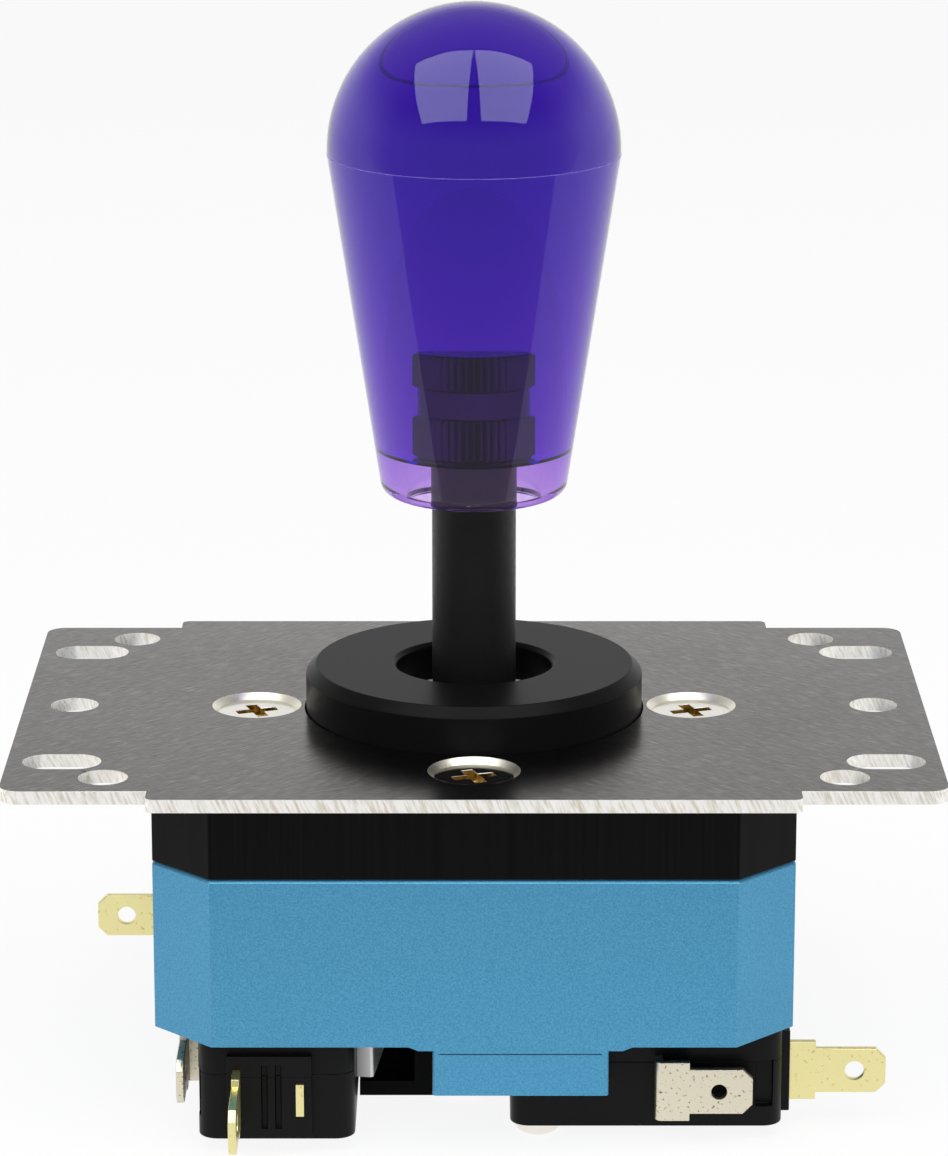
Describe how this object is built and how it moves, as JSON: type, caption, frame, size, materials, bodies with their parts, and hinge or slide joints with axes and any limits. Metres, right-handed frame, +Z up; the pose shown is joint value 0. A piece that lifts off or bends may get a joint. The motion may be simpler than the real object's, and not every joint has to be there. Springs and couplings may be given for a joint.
{
  "type": "joystick lever",
  "caption": "Arcade joystick lever with a clear bat handle, square mounting body and snap switches.",
  "frame": {"origin": "centre of the mounting plate's top face, on the shaft's axis", "axes": "+Z up along the shaft to the handle, -Y towards the player, +X to the player's right"},
  "size_m": [0.0952, 0.0846, 0.1127],
  "materials": {
    "clear_violet": "clear gloss",
    "stainless": "brushed",
    "nickel": "bright",
    "steel": "turned",
    "steel_black": "black oxide",
    "black_anodised": "satin black anodised",
    "blue_anodised": "matt blue anodised",
    "acetal": "satin",
    "black_plastic": "satin",
    "brass": "stamped",
    "tinned": "plated"
  },
  "bodies": {
    "base": {"mounting_plate": "stainless", "plate_screws": "nickel", "upper_housing": "black_anodised", "lower_housing": "blue_anodised", "upper_cup": "acetal", "lower_cup": "acetal", "top_washer": "steel", "centring_spring": "steel", "restrictor_gate": "black_plastic", "gate_screws": "nickel", "switch_screws": "nickel", "locating_pins": "steel", "front_switch_case": "black_plastic", "front_switch_cover": "black_plastic", "front_switch_common_terminal": "brass", "front_switch_open_terminal": "tinned", "front_switch_contact_stub": "brass", "right_switch_case": "black_plastic", "right_switch_cover": "black_plastic", "right_switch_common_terminal": "brass", "right_switch_open_terminal": "tinned", "right_switch_contact_stub": "brass", "back_switch_case": "black_plastic", "back_switch_cover": "black_plastic", "back_switch_common_terminal": "brass", "back_switch_open_terminal": "tinned", "back_switch_contact_stub": "brass", "left_switch_case": "black_plastic", "left_switch_cover": "black_plastic", "left_switch_common_terminal": "brass", "left_switch_open_terminal": "tinned", "left_switch_contact_stub": "brass"},
    "cross_pin": {"pivot_pin": "steel"},
    "stick": {"shaft": "steel_black", "pivot_ball": "steel", "bat_insert": "steel", "handle_body": "clear_violet", "handle_dome": "clear_violet", "low_washer": "steel", "actuator": "black_plastic", "retaining_clip": "steel_black"},
    "front_lever": {"front_switch_lever": "steel"},
    "front_plunger": {"front_switch_plunger": "acetal"},
    "right_lever": {"right_switch_lever": "steel"},
    "right_plunger": {"right_switch_plunger": "acetal"},
    "back_lever": {"back_switch_lever": "steel"},
    "back_plunger": {"back_switch_plunger": "acetal"},
    "left_lever": {"left_switch_lever": "steel"},
    "left_plunger": {"left_switch_plunger": "acetal"}
  },
  "joints": [
    {"name": "tilt_left_right", "type": "hinge", "parent": "base", "child": "cross_pin", "pos_m": [0, 0, -0.007], "axis": [0, 1, 0], "range_deg": [-8.5, 8.5], "stiffness_Nm_per_rad": 0.9},
    {"name": "tilt_forward_back", "type": "hinge", "parent": "cross_pin", "child": "stick", "pos_m": [0, 0, -0.007], "axis": [1, 0, 0], "range_deg": [-8.5, 8.5], "stiffness_Nm_per_rad": 0.9, "deforming": ["centring_spring"]},
    {"name": "front_lever_turn", "type": "hinge", "parent": "base", "child": "front_lever", "pos_m": [0.0245, -0.0114, -0.03029], "axis": [0, 0, 1], "range_deg": [-8.2, 8.2]},
    {"name": "front_plunger_press", "type": "slide", "parent": "base", "child": "front_plunger", "axis": [0, -1, 0], "range_m": [-0.00142, 0.00142]},
    {"name": "right_lever_turn", "type": "hinge", "parent": "base", "child": "right_lever", "pos_m": [0.0114, 0.0245, -0.03029], "axis": [0, 0, 1], "range_deg": [-8.2, 8.2]},
    {"name": "right_plunger_press", "type": "slide", "parent": "base", "child": "right_plunger", "axis": [1, 0, 0], "range_m": [-0.00142, 0.00142]},
    {"name": "back_lever_turn", "type": "hinge", "parent": "base", "child": "back_lever", "pos_m": [-0.0245, 0.0114, -0.03029], "axis": [0, 0, 1], "range_deg": [-8.2, 8.2]},
    {"name": "back_plunger_press", "type": "slide", "parent": "base", "child": "back_plunger", "axis": [0, 1, 0], "range_m": [-0.00142, 0.00142]},
    {"name": "left_lever_turn", "type": "hinge", "parent": "base", "child": "left_lever", "pos_m": [-0.0114, -0.0245, -0.03029], "axis": [0, 0, 1], "range_deg": [-8.2, 8.2]},
    {"name": "left_plunger_press", "type": "slide", "parent": "base", "child": "left_plunger", "axis": [-1, 0, 0], "range_m": [-0.00142, 0.00142]}
  ],
  "couplings": [
    {"joint": "front_lever_turn", "follows": "tilt_forward_back", "ratio": -0.95},
    {"joint": "front_plunger_press", "follows": "tilt_forward_back", "m_per_rad": -0.009437},
    {"joint": "right_lever_turn", "follows": "tilt_left_right", "ratio": -0.95},
    {"joint": "right_plunger_press", "follows": "tilt_left_right", "m_per_rad": -0.009437},
    {"joint": "back_lever_turn", "follows": "tilt_forward_back", "ratio": 0.95},
    {"joint": "back_plunger_press", "follows": "tilt_forward_back", "m_per_rad": 0.009437},
    {"joint": "left_lever_turn", "follows": "tilt_left_right", "ratio": 0.95},
    {"joint": "left_plunger_press", "follows": "tilt_left_right", "m_per_rad": 0.009437}
  ]
}
